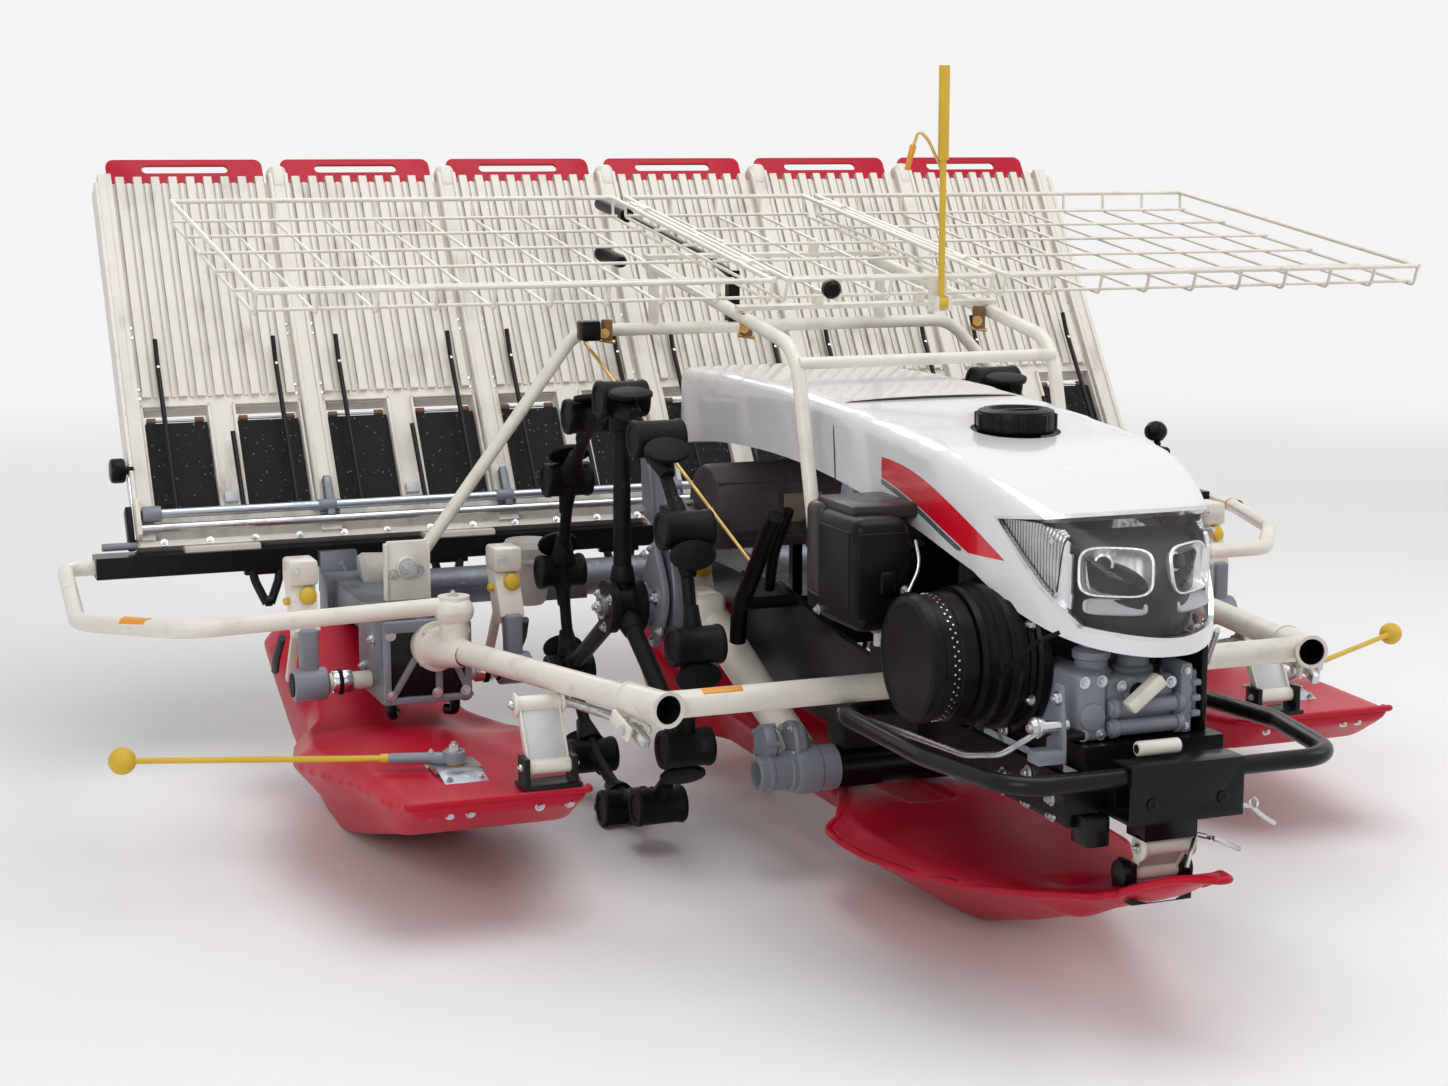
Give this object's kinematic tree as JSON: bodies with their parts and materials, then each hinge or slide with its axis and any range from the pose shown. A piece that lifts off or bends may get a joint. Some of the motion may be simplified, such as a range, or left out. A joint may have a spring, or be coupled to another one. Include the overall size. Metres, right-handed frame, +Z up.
{
  "type": "walk-behind rice transplanter",
  "caption": "Walk-behind paddy transplanter: nose-mounted engine under a hood, lugged wheels, floats, folding wire racks and a sloping sideways-sliding seedling platform.",
  "frame": {"origin": "on the floor, midway along the overall length and on the plane of symmetry", "axes": "+Z up, -Y towards the nose, +Y towards the handlebars, +X towards the machine's left"},
  "size_m": [2.1476, 2.33, 1.098],
  "materials": {
    "ivory_paint": "warm ivory gloss enamel",
    "white_cover": "gloss white moulded cover",
    "cream_plastic": "weathered cream moulding",
    "crimson_plastic": "semi-matt crimson moulding",
    "black_plastic": "matt black moulding",
    "black_rubber": "matt black rubber",
    "wheel_black": "black enamel and rubber lugs",
    "black_steel": "satin black enamel",
    "grey_casting": "blue-grey die casting",
    "dark_casting": "dark grey heat-proof paint",
    "plated_steel": "zinc-plated steel",
    "chrome_bar": "polished steel",
    "yellow_plastic": "yellow moulding",
    "clear_lens": "clear headlight lens",
    "belt_black": "speckled black belt"
  },
  "bodies": {
    "chassis": {"gear_cases": "grey_casting", "swing_arms": "ivory_paint", "pivot_sleeves": "grey_casting", "pivot_tube": "black_steel", "chassis_rails": "black_steel", "main_beam": "black_steel", "engine_block": "dark_casting", "fan_shroud": "black_plastic", "recoil_starter": "black_plastic", "air_cleaner": "black_plastic", "fuel_tank": "black_plastic", "fuel_cap": "black_plastic", "muffler": "dark_casting", "front_gearbox": "grey_casting", "nose_plate": "black_steel", "bumper_tube": "black_steel", "nose_upright": "black_steel", "hood": "white_cover", "headlight": "clear_lens", "hood_stay": "black_steel", "centre_float": "crimson_plastic", "side_floats": "crimson_plastic", "float_links": "ivory_paint", "float_stays": "plated_steel", "float_brackets": "black_steel", "float_hangers": "black_steel", "planting_cases": "grey_casting", "planting_arms": "ivory_paint", "rear_beam": "grey_casting", "booms": "ivory_paint", "side_guards": "ivory_paint", "guide_rail": "black_steel", "upper_guide_rail": "ivory_paint", "handlebars": "ivory_paint", "grips": "black_rubber", "control_console": "black_plastic", "rack_centre": "ivory_paint", "rack_frame": "ivory_paint", "main_lever": "black_plastic", "side_lever": "black_plastic", "marker_brackets": "plated_steel"},
    "platform": {"seedling_platform": "cream_plastic", "feed_belts": "belt_black", "extension_plates": "crimson_plastic", "platform_sides": "ivory_paint", "platform_lower_rail": "ivory_paint", "press_rods": "black_steel", "feed_shaft": "plated_steel"},
    "wheel_right": {"wheel_right": "wheel_black"},
    "wheel_left": {"wheel_left": "wheel_black"},
    "rack_wing_right": {"rack_wing_right": "ivory_paint"},
    "rack_wing_left": {"rack_wing_left": "ivory_paint"},
    "sighting_pole": {"sighting_pole": "yellow_plastic"},
    "row_marker_right": {"row_marker_right": "yellow_plastic"},
    "row_marker_left": {"row_marker_left": "yellow_plastic"}
  },
  "joints": [
    {"name": "wheel_right_axle", "type": "hinge", "parent": "chassis", "child": "wheel_right", "pos_m": [-0.3, -0.034, 0.33], "axis": [1, 0, 0], "continuous": true},
    {"name": "wheel_left_axle", "type": "hinge", "parent": "chassis", "child": "wheel_left", "pos_m": [0.3, -0.034, 0.33], "axis": [1, 0, 0], "continuous": true},
    {"name": "platform_slide", "type": "slide", "parent": "chassis", "child": "platform", "axis": [1, 0, 0], "range_m": [-0.14, 0.14]},
    {"name": "rack_wing_right_hinge", "type": "hinge", "parent": "chassis", "child": "rack_wing_right", "pos_m": [-0.165, -0.302, 0.813], "axis": [0, 0.99, 0.1408], "range_deg": [0, 90]},
    {"name": "rack_wing_left_hinge", "type": "hinge", "parent": "chassis", "child": "rack_wing_left", "pos_m": [0.165, -0.302, 0.813], "axis": [0, -0.99, -0.1408], "range_deg": [0, 90]},
    {"name": "sighting_pole_pivot", "type": "hinge", "parent": "chassis", "child": "sighting_pole", "pos_m": [0.067, -0.319, 0.778], "axis": [1, 0, 0], "range_deg": [0, 90]},
    {"name": "row_marker_right_pivot", "type": "hinge", "parent": "chassis", "child": "row_marker_right", "pos_m": [-0.632, -0.323, 0.2033], "axis": [0, 0, 1], "range_deg": [-41, 99]},
    {"name": "row_marker_left_pivot", "type": "hinge", "parent": "chassis", "child": "row_marker_left", "pos_m": [0.632, -0.323, 0.2033], "axis": [0, 0, 1], "range_deg": [-111, 29]}
  ]
}
